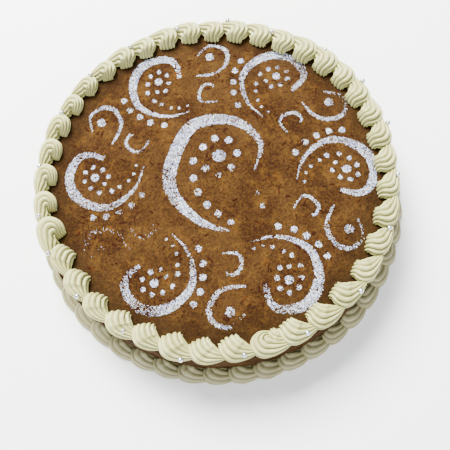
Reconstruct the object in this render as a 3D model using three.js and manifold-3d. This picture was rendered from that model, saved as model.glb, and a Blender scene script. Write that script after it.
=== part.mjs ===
// Round carrot cake with two piped icing borders and silver sugar balls.
// Millimetres, +Z up. The origin is the centre of the cake's flat underside.
// Solids: the baked cake, the top border with its silver balls, and the base border.
import * as THREE from 'three';
import { mergeVertices } from 'three/addons/utils/BufferGeometryUtils.js';
import Module from 'manifold-3d';

const wasm = await Module();
wasm.setup();

// Baked cake: an 11 inch tin, a flat top with a rounded rim, a wall that spreads a little
// towards the foot, and a slightly uneven crust.
const CAKE_RADIUS = 140;
const FOOT_RADIUS = 142.5;
const CAKE_HEIGHT = 50;
const CAKE_SEGMENTS = 60;
const RIM_ROUND = 5;
const FOOT_ROUND = 1.5;
const CRUST_WAVE = 0.5;
const ICING_GAP = 0.3;

// Top border: shells piped in one string, anticlockwise seen from above.
const TOP_SHELLS = 39;
const TOP_BAND_RADIUS = 132.8;
const TOP_SHELL = {
  halfLength: 9.8, halfWidth: 8.8, height: 11.2, tailReach: 18.5, lanes: 5, ribDepth: 0.16,
  steps: [0, 0.15, 0.36, 0.6, 0.8, 1],
  notchAhead: 0.85, notchSide: 0.38, tailInner: -0.3,
};
const TOP_SIZE_SPREAD = 0.05;
const TOP_RADIAL_SPREAD = 0.8;
// The spacing drifts as the cake is turned: one row for each wave round the ring.
const TOP_START_ANGLE = -1.1;
const TOP_DRIFT = [
  { order: 1, cosine: 3.16, sine: -0.8 },
  { order: 2, cosine: 0.3, sine: 0.7 },
  { order: 3, cosine: 0.85, sine: -0.35 },
];
// The way a shell opens differs with how the hand reaches round the cake. Each row starts with
// its angle and gives: where the teeth end on the inner side, as shares of the shell's half length
// and half width; the angle on the head's outline at which they end on the outer side; the shell's
// shift outwards; its width as a share of the usual one; how far the row of teeth bulges, as a
// share of the half width; how strong the teeth are; and the tail's shift inwards, as a share of
// the half width.
const HAND_VALUES = ['ahead', 'side', 'opening', 'outward', 'width', 'bulge', 'teeth', 'tail'];
const TOP_HAND = [
  [0, 0.4, 0.64, 150, -0.9, 0.9, 0.34, 1, 0],
  [30, 0.5, 0.64, 142, 0, 0.94, 0.42, 1, 0],
  [50, 0.56, 0.64, 134, 0.4, 1, 0.44, 1, 0],
  [62, 0.64, 0.62, 128, -1.2, 0.96, 0.38, 1, 0],
  [90, 0.7, 0.62, 126, -1.2, 0.94, 0.3, 1, 0],
  [110, 0.7, 0.6, 120, -1.2, 0.92, 0.26, 0.8, 0],
  [130, 0.62, 0.5, 108, -1.4, 0.88, 0.2, 0.6, 0],
  [150, 0.4, 0.2, 74, -0.5, 0.9, 0.24, 0.5, 0],
  [190, 0.36, 0.16, 66, 0, 0.95, 0.26, 0.5, 0],
  [203, 0.45, 0.25, 80, 0, 1, 0.2, 0.45, 0],
  [206, 0.42, 0.76, 192, -1.2, 0.95, 0.42, 1, 0.38],
  [235, 0.42, 0.76, 190, -1, 1, 0.42, 1, 0.34],
  [258, 0.44, 0.76, 184, 0, 1, 0.38, 1, 0.2],
  [285, 0.46, 0.74, 168, 0, 1, 0.32, 1, 0.05],
  [300, 0.42, 0.74, 156, 0, 0.97, 0.26, 1, 0],
  [325, 0.38, 0.68, 152, -0.6, 0.93, 0.28, 1, 0],
  [345, 0.36, 0.64, 152, -1.4, 0.86, 0.32, 1, 0],
  [360, 0.4, 0.64, 150, -0.9, 0.9, 0.34, 1, 0],
];
const OPENING_SPREAD = 5;
// One shell among the open ones is rolled round, with a short dab after it.
const ROUND_SHELL = 31;
const ROUND_HAND = [0.36, 0.16, 66, 0, 1, 0.26, 0.5, 0];
const DAB = { angle: 288.5, radius: 131, lift: 1.5, scale: 0.68 };
// The string is closed at one over-full shell.
const JOIN_SHELL = 22;
const JOIN_SCALE = 1.17;

// Silver balls lie at about every second join, low on the outer side. Each row gives a ball's angle
// and radius.
const BALL_DIAMETER = 4;
const BALL_HEIGHT = 57.6;
const BALL_PLACES = [
  [15.1, 138.5], [32, 139.6], [49.1, 138.8], [68.7, 132.8], [84.9, 137.6],
  [103, 133.6], [121.6, 133.7], [139.2, 135.3], [156.4, 134.5], [177, 136.4],
  [194.1, 136.7], [207.4, 137], [224, 135.5], [242, 135], [260.6, 140],
  [278.6, 136], [297.7, 137.4], [317.5, 138], [339.2, 135.6], [357.2, 137.1],
];

// Base border: smaller shells round the foot of the wall.
const BASE_SHELLS = 47;
const BASE_BAND_RADIUS = 146.3;
const BASE_HAND = { ahead: 0.45, side: 0.95, opening: 130, bulge: 0, teeth: 0, tail: 0 };
const BASE_SHELL = {
  halfLength: 9.6, halfWidth: 8.1, height: 12, tailReach: 17, lanes: 3, ribDepth: 0.12,
  steps: [0, 0.2, 0.5, 0.75, 1],
  notchAhead: 0.85, notchSide: 0.9, tailInner: 0.6,
};
const BASE_SIZE_SPREAD = 0.03;
const BASE_START_ANGLE = 0.7;
// Neighbouring shells are pressed to slightly different radii, so that they cross cleanly.
const WALL_REACH = FOOT_RADIUS + CRUST_WAVE + ICING_GAP + 0.25;
const WALL_STEP = 0.12;

const CRUST_COLOUR = 0x8a5420;
const TOP_ICING_COLOUR = 0xe6e3b6;
const BASE_ICING_COLOUR = 0xc4b98a;

// Repeatable draw between -1 and 1 for a piece's own number.
function spread(number, channel) {
  const value = Math.sin(number * 12.9898 + channel * 78.233) * 43758.5453;
  return 2 * (value - Math.floor(value)) - 1;
}

// Indexed geometry from rings of equal length, closed into a tube and capped at both ends.
function loftRings(rings, startCentre, endCentre) {
  const count = rings[0].length;
  const points = [...rings.flat(), startCentre, endCentre];
  const index = [];
  for (let step = 0; step < rings.length - 1; step += 1) {
    for (let lane = 0; lane < count; lane += 1) {
      const a = step * count + lane;
      const b = step * count + (lane + 1) % count;
      index.push(a, b, a + count, b, b + count, a + count);
    }
  }
  const start = rings.length * count;
  const lastRing = (rings.length - 1) * count;
  for (let lane = 0; lane < count; lane += 1) {
    const next = (lane + 1) % count;
    index.push(start, next, lane);
    index.push(start + 1, lastRing + lane, lastRing + next);
  }
  const geometry = new THREE.BufferGeometry();
  const flat = points.flatMap((point) => [point.x, point.y, point.z]);
  geometry.setAttribute('position', new THREE.Float32BufferAttribute(flat, 3));
  geometry.setIndex(index);
  return geometry;
}

// Ripple of the crust, so that neither the top nor the wall is perfectly true. The top is level
// again where the border lies on it.
function crustRipple(angle) {
  return CRUST_WAVE * (Math.sin(2 * angle + 0.7) + 0.6 * Math.sin(3 * angle - 1.1)) / 1.6;
}

// The cake's turned form, lofted from rings that run from the top to the underside.
function cakeGeometry() {
  const diagonal = RIM_ROUND * (1 - Math.SQRT1_2);
  const rings = [
    { radius: CAKE_RADIUS * 0.45, height: CAKE_HEIGHT, lift: 0.8, push: 0 },
    { radius: CAKE_RADIUS * 0.82, height: CAKE_HEIGHT, lift: 0, push: 0 },
    { radius: CAKE_RADIUS - RIM_ROUND, height: CAKE_HEIGHT, lift: 0, push: 0 },
    { radius: CAKE_RADIUS - diagonal, height: CAKE_HEIGHT - diagonal, lift: 0, push: 0 },
    { radius: CAKE_RADIUS, height: CAKE_HEIGHT - RIM_ROUND, lift: 0, push: 0.5 },
    { radius: FOOT_RADIUS, height: FOOT_ROUND, lift: 0, push: 1 },
    { radius: FOOT_RADIUS - FOOT_ROUND, height: 0, lift: 0, push: 1 },
  ].map(({ radius, height, lift, push }) => {
    const ring = [];
    for (let segment = 0; segment < CAKE_SEGMENTS; segment += 1) {
      const angle = -2 * Math.PI * segment / CAKE_SEGMENTS;
      const reach = radius + push * crustRipple(angle);
      const level = height + lift * crustRipple(angle);
      ring.push(new THREE.Vector3(reach * Math.cos(angle), reach * Math.sin(angle), level));
    }
    return ring;
  });
  return loftRings(rings, new THREE.Vector3(0, 0, CAKE_HEIGHT), new THREE.Vector3(0, 0, 0));
}

// Two rails carry a shell: the outer one runs round the head and on to the tail, the inner one
// from the inner end of the teeth to the notch that the ribs curl round, and on. Local frame: +X
// along the string, +Y to the cake's axis. Progress runs from the teeth, 0, to the tail's tip, 1.
const HEAD_SHARE = 0.62;
function shellRails(form, hand) {
  const { halfLength, halfWidth, tailReach, notchAhead, notchSide, tailInner } = form;
  const start = new THREE.Vector2(hand.ahead * halfLength, hand.side * halfWidth);
  const notch = new THREE.Vector2(notchAhead * halfLength, notchSide * halfWidth);
  const headStart = THREE.MathUtils.degToRad(hand.opening);
  const headEnd = THREE.MathUtils.degToRad(256);
  const headPoint = (angle) => new THREE.Vector2(
    halfLength * Math.cos(angle), halfWidth * Math.sin(angle));
  const leave = headPoint(headEnd);
  const outerTail = new THREE.CubicBezierCurve(
    leave, new THREE.Vector2(0.45 * halfLength, -1.12 * halfWidth),
    new THREE.Vector2(0.62 * tailReach, (0.7 * hand.tail - 0.92) * halfWidth),
    new THREE.Vector2(tailReach, (hand.tail - 0.52) * halfWidth));
  const innerTail = new THREE.CubicBezierCurve(
    notch, new THREE.Vector2((notchAhead + 0.2) * halfLength, (notchSide - 0.22) * halfWidth),
    new THREE.Vector2(0.72 * tailReach, (tailInner + 0.7 * hand.tail + 0.18) * halfWidth),
    new THREE.Vector2(tailReach, (tailInner + hand.tail) * halfWidth));
  return (progress) => {
    if (progress <= HEAD_SHARE) {
      const share = progress / HEAD_SHARE;
      const outer = headPoint(THREE.MathUtils.lerp(headStart, headEnd, share));
      return { outer, inner: start.clone().lerp(notch, share) };
    }
    const along = (progress - HEAD_SHARE) / (1 - HEAD_SHARE);
    return { outer: outerTail.getPoint(along), inner: innerTail.getPoint(along) };
  };
}

// Height of the string: it swells up from the teeth, stands full over the head and then thins out.
function swell(progress) {
  const rise = Math.sqrt(Math.min(1, 0.16 + progress / 0.2));
  const fall = progress < 0.45 ? 1 : 1 - 0.62 * ((progress - 0.45) / 0.55) ** 1.2;
  return rise * fall;
}

// A string that starts narrow is also lower there.
const FULL_HALF_SHARE = 0.75;
function fullness(half, halfWidth, progress) {
  if (progress > 0.45) return 1;
  return Math.sqrt(Math.min(1, half.length() / (FULL_HALF_SHARE * halfWidth)));
}

// One shell: a ribbed half-round section swept along the rails, with the ribs' ends standing
// out as teeth where the string starts. The sections bow back there, less and less with progress.
const CAP_CENTRE_SHARE = 0.15;
const TOOTH_SHARE = 0.16;
const BOW_END = 0.5;
function shellGeometry(form, hand) {
  const rails = shellRails(form, hand);
  const laneCount = 2 * form.lanes + 1;
  const floorMiddle = (outer, inner) => new THREE.Vector3(
    (outer.x + inner.x) / 2, (outer.y + inner.y) / 2, CAP_CENTRE_SHARE * form.height);
  const rings = form.steps.map((progress) => {
    const { outer, inner } = rails(progress);
    const middle = outer.clone().add(inner).multiplyScalar(0.5);
    const half = outer.clone().sub(inner).multiplyScalar(0.5);
    const backward = new THREE.Vector2(-half.y, half.x).normalize().negate();
    const full = fullness(half, form.halfWidth, progress);
    const bow = hand.bulge * form.halfWidth * Math.max(0, 1 - progress / BOW_END) ** 2;
    const ring = [];
    for (let lane = 0; lane < laneCount; lane += 1) {
      const turn = Math.PI * lane / (laneCount - 1);
      const crest = lane % 2 === 1 ? 1 : 0;
      const reach = 1 + form.ribDepth * (crest - 0.5);
      const tooth = progress === 0 ? TOOTH_SHARE * hand.teeth * crest * form.halfWidth : 0;
      const edge = lane === 0 || lane === laneCount - 1;
      const side = middle.clone().addScaledVector(half, -Math.cos(turn) * (edge ? 1 : reach));
      side.addScaledVector(backward, (tooth + bow * Math.sin(turn)) * full);
      const height = edge ? 0 : form.height * full * swell(progress) * Math.sin(turn) * reach;
      ring.push(new THREE.Vector3(side.x, side.y, height));
    }
    return ring;
  });
  const first = rails(0);
  const last = rails(1);
  return loftRings(rings, floorMiddle(first.outer, first.inner), floorMiddle(last.outer, last.inner));
}

// A silver ball with few faces.
function ballGeometry() {
  return new THREE.IcosahedronGeometry(BALL_DIAMETER / 2, 0);
}

function toSolid(geometry) {
  const bare = geometry.clone();
  bare.deleteAttribute('normal');
  bare.deleteAttribute('uv');
  const merged = mergeVertices(bare, 1e-4);
  return new wasm.Manifold(new wasm.Mesh({
    numProp: 3,
    vertProperties: new Float32Array(merged.attributes.position.array),
    triVerts: new Uint32Array(merged.index.array),
  }));
}

// Faces of the largest connected surface: small hollows that fusing seals inside are filled.
function outerFaces(faces, pointCount) {
  const parent = Array.from({ length: pointCount }, (_, point) => point);
  const find = (point) => {
    let root = point;
    while (parent[root] !== root) root = parent[root];
    parent[point] = root;
    return root;
  };
  for (let face = 0; face < faces.length; face += 3) {
    parent[find(faces[face])] = find(faces[face + 1]);
    parent[find(faces[face + 1])] = find(faces[face + 2]);
  }
  const groups = new Map();
  for (let face = 0; face < faces.length; face += 3) {
    const root = find(faces[face]);
    if (!groups.has(root)) groups.set(root, []);
    groups.get(root).push(faces[face], faces[face + 1], faces[face + 2]);
  }
  return [...groups.values()].reduce((best, group) => (group.length > best.length ? group : best));
}

function toMesh(name, solid, colour, roughness) {
  const data = solid.getMesh();
  const geometry = new THREE.BufferGeometry();
  geometry.setAttribute('position', new THREE.BufferAttribute(data.vertProperties, 3));
  geometry.setIndex(outerFaces(data.triVerts, data.vertProperties.length / 3));
  geometry.computeVertexNormals();
  const material = new THREE.MeshStandardMaterial({ color: colour, roughness, metalness: 0 });
  const mesh = new THREE.Mesh(geometry, material);
  mesh.name = name;
  return mesh;
}

// Place a piece on a ring: its local +X follows the ring and its local +Y points at the axis.
function onRing(geometry, radius, degrees, height, scale) {
  const angle = THREE.MathUtils.degToRad(degrees);
  const matrix = new THREE.Matrix4().makeRotationZ(angle + Math.PI / 2);
  matrix.scale(new THREE.Vector3(scale, scale, scale));
  matrix.setPosition(radius * Math.cos(angle), radius * Math.sin(angle), height);
  return geometry.clone().applyMatrix4(matrix);
}

function topShellAngle(number) {
  const even = 360 * number / TOP_SHELLS;
  const turn = THREE.MathUtils.degToRad(even);
  const drift = TOP_DRIFT.reduce((sum, wave) => sum
    + wave.cosine * Math.cos(wave.order * turn) + wave.sine * Math.sin(wave.order * turn), 0);
  return TOP_START_ANGLE + even + drift;
}

// The hand's values for a shell, worked out between the rows before and after its angle.
function topHand(degrees, number) {
  const turned = THREE.MathUtils.euclideanModulo(degrees, 360);
  const after = TOP_HAND.findIndex((row) => row[0] > turned);
  const [low, high] = [TOP_HAND[after - 1], TOP_HAND[after]];
  const share = (turned - low[0]) / (high[0] - low[0]);
  const values = number === ROUND_SHELL ? ROUND_HAND
    : HAND_VALUES.map((_, place) => THREE.MathUtils.lerp(low[place + 1], high[place + 1], share));
  const hand = Object.fromEntries(HAND_VALUES.map((name, place) => [name, values[place]]));
  hand.opening += OPENING_SPREAD * spread(number, 3);
  return hand;
}

function topBorder() {
  const floor = CAKE_HEIGHT + ICING_GAP;
  const pieces = [];
  for (let number = 0; number < TOP_SHELLS; number += 1) {
    const degrees = topShellAngle(number);
    const scale = number === JOIN_SHELL ? JOIN_SCALE : 1 + TOP_SIZE_SPREAD * spread(number, 1);
    const hand = topHand(degrees, number);
    const radius = TOP_BAND_RADIUS + hand.outward + TOP_RADIAL_SPREAD * spread(number, 2);
    const form = { ...TOP_SHELL, halfWidth: TOP_SHELL.halfWidth * hand.width };
    pieces.push(onRing(shellGeometry(form, hand), radius, degrees, floor, scale));
  }
  for (const [degrees, radius] of BALL_PLACES) {
    pieces.push(onRing(ballGeometry(), radius, degrees, BALL_HEIGHT, 1));
  }
  const dab = shellGeometry(TOP_SHELL, topHand(DAB.angle, TOP_SHELLS));
  pieces.push(onRing(dab, DAB.radius, DAB.angle, floor + DAB.lift, DAB.scale));
  return fuse(pieces);
}

// Icing that would lie within the wall is pressed out to a radius just clear of it.
function pressedOut(geometry, radius) {
  const places = geometry.attributes.position;
  for (let point = 0; point < places.count; point += 1) {
    const reach = Math.hypot(places.getX(point), places.getY(point));
    const push = Math.max(1, radius / reach);
    places.setXY(point, places.getX(point) * push, places.getY(point) * push);
  }
  return geometry;
}

function baseBorder() {
  const pieces = [];
  for (let number = 0; number < BASE_SHELLS; number += 1) {
    const degrees = BASE_START_ANGLE + 360 * number / BASE_SHELLS;
    const scale = 1 + BASE_SIZE_SPREAD * spread(number, 5);
    const shell = onRing(shellGeometry(BASE_SHELL, BASE_HAND), BASE_BAND_RADIUS, degrees, 0, scale);
    pieces.push(pressedOut(shell, WALL_REACH - WALL_STEP * (number % 2)));
  }
  return fuse(pieces);
}

function fuse(geometries) {
  return geometries.map(toSolid).reduce((whole, piece) => whole.add(piece));
}

const group = new THREE.Group();
group.add(toMesh('cake', toSolid(cakeGeometry()), CRUST_COLOUR, 0.9));
group.add(toMesh('top_border', topBorder(), TOP_ICING_COLOUR, 0.5));
group.add(toMesh('base_border', baseBorder(), BASE_ICING_COLOUR, 0.55));

export default group;
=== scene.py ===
import logging
import math
from dataclasses import dataclass, field
from enum import Enum
from typing import Mapping, Optional, Sequence, Union

import bpy
import numpy as np
from mathutils import Matrix, Vector, noise
from mathutils.bvhtree import BVHTree


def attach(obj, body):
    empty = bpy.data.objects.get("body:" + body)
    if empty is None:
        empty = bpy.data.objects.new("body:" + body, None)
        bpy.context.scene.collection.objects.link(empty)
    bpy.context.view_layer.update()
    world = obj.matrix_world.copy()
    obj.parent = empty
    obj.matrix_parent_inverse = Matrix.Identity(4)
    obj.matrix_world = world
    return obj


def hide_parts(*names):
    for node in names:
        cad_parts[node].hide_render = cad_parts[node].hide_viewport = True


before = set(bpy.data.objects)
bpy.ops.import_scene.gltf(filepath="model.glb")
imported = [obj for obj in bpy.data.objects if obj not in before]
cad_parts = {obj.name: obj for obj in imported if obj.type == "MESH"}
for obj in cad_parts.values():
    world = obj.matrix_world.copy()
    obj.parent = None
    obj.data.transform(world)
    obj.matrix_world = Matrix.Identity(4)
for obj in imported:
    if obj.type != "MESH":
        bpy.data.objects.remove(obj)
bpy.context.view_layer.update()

log = logging.getLogger("carrot_cake")

# One millimetre in Blender's metres.
MM = 0.001
# Bare width between two touching solids, in millimetres.
ICING_GAP = 0.3


# Repeatable draws

def spread(number: int, channel: int) -> float:
    """Repeatable draw between -1 and 1 for a piece's own number.

    Args:
        number: The piece's number in its row.
        channel: Which of the piece's draws this is.

    Returns:
        The draw.
    """
    value = math.sin(number * 12.9898 + channel * 78.233) * 43758.5453
    return 2 * (value - math.floor(value)) - 1


def rough(points: np.ndarray, grain: float, shift: float = 0.0) -> np.ndarray:
    """Smooth noise at each point.

    Args:
        points: Rows of x, y and z in millimetres.
        grain: Size of the noise's lumps in millimetres.
        shift: Moves the noise, so that two calls differ.

    Returns:
        One value between about -1 and 1 for each point.
    """
    offset = Vector((shift, 1.7 * shift, -0.6 * shift))
    return np.array([noise.noise(Vector(point) / grain + offset) for point in points])


# Mesh making

def make_object(name: str, points: np.ndarray, faces: Sequence[Sequence[int]],
                smooth: bool = True) -> bpy.types.Object:
    """Makes a mesh object from points in millimetres.

    Args:
        name: The piece's name.
        points: Rows of x, y and z in millimetres.
        faces: Corner numbers of each face.
        smooth: Whether the faces are shaded smooth.

    Returns:
        The new object, linked to the scene.
    """
    mesh = bpy.data.meshes.new(name)
    mesh.from_pydata((np.asarray(points) * MM).tolist(), [], [list(face) for face in faces])
    mesh.validate()
    mesh.polygons.foreach_set("use_smooth", [smooth] * len(mesh.polygons))
    mesh.update()
    piece = bpy.data.objects.new(name, mesh)
    bpy.context.scene.collection.objects.link(piece)
    return piece


def tube_faces(rings: int, lanes: int) -> list[tuple[int, ...]]:
    """Faces of a closed tube with a fan at each end; the two fan centres come last.

    Args:
        rings: Number of rings along the tube.
        lanes: Number of points in each ring.

    Returns:
        The corner numbers of each face.
    """
    faces: list[tuple[int, ...]] = []
    for ring in range(rings - 1):
        for lane in range(lanes):
            a = ring * lanes + lane
            b = ring * lanes + (lane + 1) % lanes
            faces.append((a, b, b + lanes, a + lanes))
    start = rings * lanes
    last = (rings - 1) * lanes
    for lane in range(lanes):
        after = (lane + 1) % lanes
        faces.append((start, after, lane))
        faces.append((start + 1, last + lane, last + after))
    return faces


@dataclass
class Pile:
    """Closed forms gathered into one mesh."""

    points: list[np.ndarray] = field(default_factory=list)
    faces: list[tuple[int, ...]] = field(default_factory=list)
    crests: list[np.ndarray] = field(default_factory=list)
    count: int = 0

    def add(self, points: np.ndarray, faces: Sequence[Sequence[int]],
            crests: Optional[np.ndarray] = None) -> None:
        """Adds one form.

        Args:
            points: The form's points in millimetres.
            faces: The form's faces, numbered from its own first point.
            crests: For each point, 0 in a groove and 1 on a rib's crest.
        """
        self.points.append(points)
        if crests is not None:
            self.crests.append(crests)
        self.faces.extend(tuple(corner + self.count for corner in face) for face in faces)
        self.count += len(points)

    def build(self, name: str) -> bpy.types.Object:
        """Makes the gathered forms one object.

        Args:
            name: The object's name.

        Returns:
            The object, with the crests as a value on its points where they are known.
        """
        piece = make_object(name, np.concatenate(self.points), self.faces)
        if self.crests:
            values = piece.data.attributes.new("crest", "FLOAT", "POINT")
            values.data.foreach_set("value", np.concatenate(self.crests))
        return piece


# Shader building

Value = Union["Socket", float, int, Sequence[float]]


class Socket:
    """An output socket that can be used in sums."""

    def __init__(self, paint: "Paint", socket: bpy.types.NodeSocket) -> None:
        """Wraps one output socket of a paint's node tree."""
        self.paint = paint
        self.socket = socket

    def __add__(self, other: Value) -> "Socket":
        """This value plus another."""
        return self.paint.maths("ADD", self, other)

    def __radd__(self, other: Value) -> "Socket":
        """Another value plus this one."""
        return self.paint.maths("ADD", other, self)

    def __sub__(self, other: Value) -> "Socket":
        """This value less another."""
        return self.paint.maths("SUBTRACT", self, other)

    def __rsub__(self, other: Value) -> "Socket":
        """Another value less this one."""
        return self.paint.maths("SUBTRACT", other, self)

    def __mul__(self, other: Value) -> "Socket":
        """This value times another."""
        return self.paint.maths("MULTIPLY", self, other)

    def __rmul__(self, other: Value) -> "Socket":
        """Another value times this one."""
        return self.paint.maths("MULTIPLY", other, self)


class Paint:
    """A procedural material while it is being put together."""

    def __init__(self, name: str) -> None:
        """Starts an empty material.

        Args:
            name: The material's name.
        """
        self.material = bpy.data.materials.new(name)
        self.material.use_nodes = True
        self.tree = self.material.node_tree
        self.tree.nodes.clear()

    def node(self, kind: str, settings: Mapping[str, object],
             values: Mapping[Union[str, int], Value]) -> bpy.types.Node:
        """Adds a node.

        Args:
            kind: The node's type.
            settings: The node's own settings, such as a Math node's operation, set first.
            values: Numbers, colours or sockets for the node's inputs, by name or place.

        Returns:
            The node.
        """
        node = self.tree.nodes.new(kind)
        for key, setting in settings.items():
            setattr(node, key, setting)
        for key, value in values.items():
            if isinstance(value, Socket):
                self.tree.links.new(value.socket, node.inputs[key])
            else:
                node.inputs[key].default_value = value
        return node

    def maths(self, operation: str, first: Value, second: Value) -> Socket:
        """Result of one Math node on two values."""
        node = self.node("ShaderNodeMath", {"operation": operation}, {0: first, 1: second})
        return Socket(self, node.outputs[0])

    def place(self) -> Socket:
        """The point's place in the part's own frame, in metres."""
        return Socket(self, self.node("ShaderNodeTexCoord", {}, {}).outputs["Object"])

    def attribute(self, name: str) -> Socket:
        """A value kept on the mesh's points."""
        node = self.node("ShaderNodeAttribute", {"attribute_name": name}, {})
        return Socket(self, node.outputs["Fac"])

    def height(self, place: Socket) -> Socket:
        """Height of a place over the underside."""
        return Socket(self, self.node("ShaderNodeSeparateXYZ", {}, {0: place}).outputs["Z"])

    def length(self, place: Socket) -> Socket:
        """Length of a vector."""
        node = self.node("ShaderNodeVectorMath", {"operation": "LENGTH"}, {0: place})
        return Socket(self, node.outputs["Value"])

    def stretch(self, place: Socket, scale: Sequence[float]) -> Socket:
        """A place scaled along each axis."""
        node = self.node("ShaderNodeVectorMath", {"operation": "MULTIPLY"}, {0: place, 1: scale})
        return Socket(self, node.outputs[0])

    def noise(self, place: Socket, grain: float, detail: float = 3.0, harsh: float = 0.5) -> Socket:
        """Noise between 0 and 1.

        Args:
            place: Where the noise is read.
            grain: Size of its lumps in millimetres.
            detail: How many finer layers it has.
            harsh: How strong the finer layers are.

        Returns:
            The noise's value.
        """
        node = self.node("ShaderNodeTexNoise", {}, {
            "Vector": place, "Scale": 1 / (grain * MM), "Detail": detail, "Roughness": harsh})
        return Socket(self, node.outputs[0])

    def cells(self, place: Socket, grain: float) -> Socket:
        """Distance to the nearest of scattered centres, in cells.

        Args:
            place: Where the distance is read.
            grain: Size of the cells in millimetres.

        Returns:
            The distance.
        """
        node = self.node("ShaderNodeTexVoronoi", {}, {
            "Vector": place, "Scale": 1 / (grain * MM)})
        return Socket(self, node.outputs["Distance"])

    def ease(self, value: Value, low: float, high: float) -> Socket:
        """Rises smoothly from 0 at low to 1 at high, or falls where high is the lesser.

        Args:
            value: The value that is read.
            low: Where the result is 0.
            high: Where the result is 1.

        Returns:
            The eased value.
        """
        node = self.node("ShaderNodeMapRange", {"interpolation_type": "SMOOTHSTEP"}, {
            "Value": value, "From Min": low, "From Max": high, "To Min": 0.0, "To Max": 1.0})
        return Socket(self, node.outputs[0])

    def blend(self, share: Value, first: Value, second: Value) -> Socket:
        """Mixes two colours.

        Args:
            share: How much of the second colour shows.
            first: The colour at share 0.
            second: The colour at share 1.

        Returns:
            The mixed colour.
        """
        node = self.node("ShaderNodeMix", {"data_type": "RGBA"}, {0: share, 6: first, 7: second})
        return Socket(self, node.outputs[2])

    def bump(self, height: Value, depth: float, under: Optional[Socket] = None) -> Socket:
        """A normal bent by a height.

        Args:
            height: The height between 0 and 1.
            depth: What 1 stands for, in millimetres.
            under: A coarser bend that this one lies on.

        Returns:
            The bent normal.
        """
        values: dict[Union[str, int], Value] = {
            "Strength": 1.0, "Distance": depth * MM, "Height": height}
        if under is not None:
            values["Normal"] = under
        return Socket(self, self.node("ShaderNodeBump", {}, values).outputs[0])

    def finish(self, values: Mapping[Union[str, int], Value]) -> bpy.types.Material:
        """Closes the material with a principled shader.

        Args:
            values: Numbers, colours or sockets for the shader's inputs.

        Returns:
            The material.
        """
        shader = self.node("ShaderNodeBsdfPrincipled", {}, values)
        output = self.node("ShaderNodeOutputMaterial", {}, {})
        self.tree.links.new(shader.outputs[0], output.inputs["Surface"])
        return self.material


Colour = tuple[float, float, float, float]


def tint(red: int, green: int, blue: int) -> Colour:
    """A screen colour of three values up to 255, as the linear colour that a shader takes.

    Args:
        red: Red as on a screen.
        green: Green as on a screen.
        blue: Blue as on a screen.

    Returns:
        The linear colour with full alpha.
    """
    def linear(value: int) -> float:
        """One channel made linear."""
        share = value / 255
        return share / 12.92 if share <= 0.04045 else ((share + 0.055) / 1.055) ** 2.4
    return (linear(red), linear(green), linear(blue), 1.0)


# Finishes

@dataclass(frozen=True)
class CrustFinish:
    """Baked carrot cake crust: mottled brown with ochre patches, dark pores painted as shade, and a
    darker band inside the border that is partly baked edge and partly painted shade.
    """

    brown: Colour = tint(55, 36, 15)
    deep: Colour = tint(38, 21, 9)
    ochre: Colour = tint(84, 58, 22)
    fleck: Colour = tint(30, 13, 7)
    # Painted shade: near-black spots standing for the shade in small holes of the crust, which have
    # no relief here.
    pore_shade: Colour = tint(15, 8, 4)
    # Darker band on the top just inside the border: partly the crust's darker baked edge, partly
    # painted shade from the border.
    rim: Colour = tint(31, 20, 8)
    rim_tone_and_shade_from: float = 0.104
    rim_tone_and_shade_to: float = 0.126
    top_from: float = 0.044
    top_to: float = 0.049

    def build(self) -> bpy.types.Material:
        """Makes the material.

        Returns:
            The material.
        """
        paint = Paint("baked_crust")
        place = paint.place()
        out = paint.length(paint.stretch(place, (1.0, 1.0, 0.0)))
        broad = paint.ease(paint.noise(place, grain=30, detail=6, harsh=0.68), 0.36, 0.62)
        patch = paint.ease(paint.noise(place, grain=9, detail=5, harsh=0.7), 0.48, 0.68)
        fleck = paint.ease(paint.noise(place, grain=4.6, detail=4, harsh=0.65), 0.54, 0.66)
        grain = paint.noise(place, grain=1.6, detail=3, harsh=0.65)
        # Painted shade of small holes: round spots with no relief under them.
        pore_shade = paint.ease(paint.cells(place, grain=5.5), 0.17, 0.06)
        crumb = paint.noise(place, grain=2.2, detail=3, harsh=0.65)
        colour = paint.blend(broad, self.deep, self.brown)
        colour = paint.blend(patch * 0.6, colour, self.ochre)
        colour = paint.blend(fleck * 0.55, colour, self.fleck)
        colour = paint.blend(paint.ease(grain, 0.42, 0.68) * 0.35, colour, self.ochre)
        colour = paint.blend(paint.ease(grain, 0.52, 0.32) * 0.4, colour, self.fleck)
        colour = paint.blend(pore_shade * 0.85, colour, self.pore_shade)
        upper = paint.ease(paint.height(place), self.top_from, self.top_to)
        # Partly the crust's darker baked edge, partly painted shade that the border casts on the top.
        rim_tone_and_shade = paint.ease(out, self.rim_tone_and_shade_from, self.rim_tone_and_shade_to)
        colour = paint.blend(rim_tone_and_shade * upper * 0.6, colour, self.rim)
        normal = paint.bump(crumb, depth=0.9)
        normal = paint.bump(grain, depth=0.5, under=normal)
        gloss = 0.9 - 0.16 * broad + 0.1 * grain
        return paint.finish({
            "Base Color": colour, "Roughness": gloss, "Normal": normal, "Specular IOR Level": 0.04})


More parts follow.
